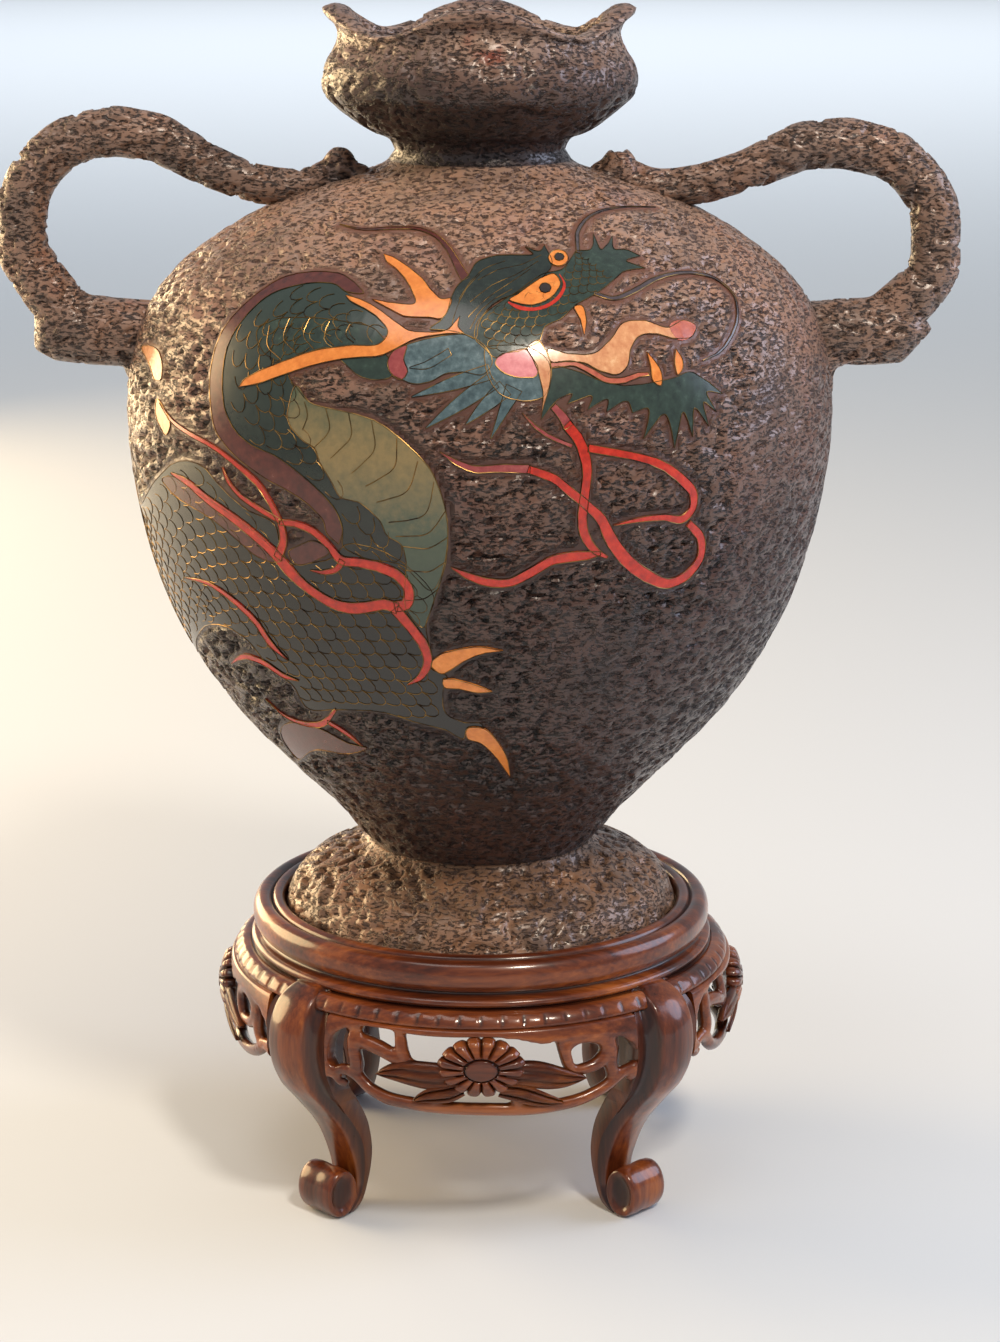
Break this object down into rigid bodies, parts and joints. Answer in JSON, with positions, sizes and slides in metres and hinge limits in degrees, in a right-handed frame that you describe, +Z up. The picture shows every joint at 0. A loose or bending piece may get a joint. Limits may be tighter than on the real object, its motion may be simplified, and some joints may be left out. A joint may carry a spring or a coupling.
{
  "type": "cloisonne ceramic vase on a carved wooden stand",
  "caption": "Two-handled cloisonne ceramic vase with a bark-like ground, a lobed mouth and an inlaid dragon, on a pierced scroll-footed hardwood stand.",
  "frame": {"origin": "on the surface it stands on, under the middle of the stand", "axes": "+Z up, the front with the dragon's head towards -Y, the handles towards -X and +X"},
  "size_m": [0.315, 0.2332, 0.3963],
  "materials": {
    "bark_ceramic": "satin",
    "stand_wood": "semi-gloss lacquer"
  },
  "bodies": {
    "root": {"vase": "bark_ceramic", "stand_top": "stand_wood", "stand_leg_front_left": "stand_wood", "stand_leg_front_right": "stand_wood", "stand_leg_back_right": "stand_wood", "stand_leg_back_left": "stand_wood", "stand_apron_front": "stand_wood", "stand_apron_right": "stand_wood", "stand_apron_back": "stand_wood", "stand_apron_left": "stand_wood"}
  },
  "joints": []
}
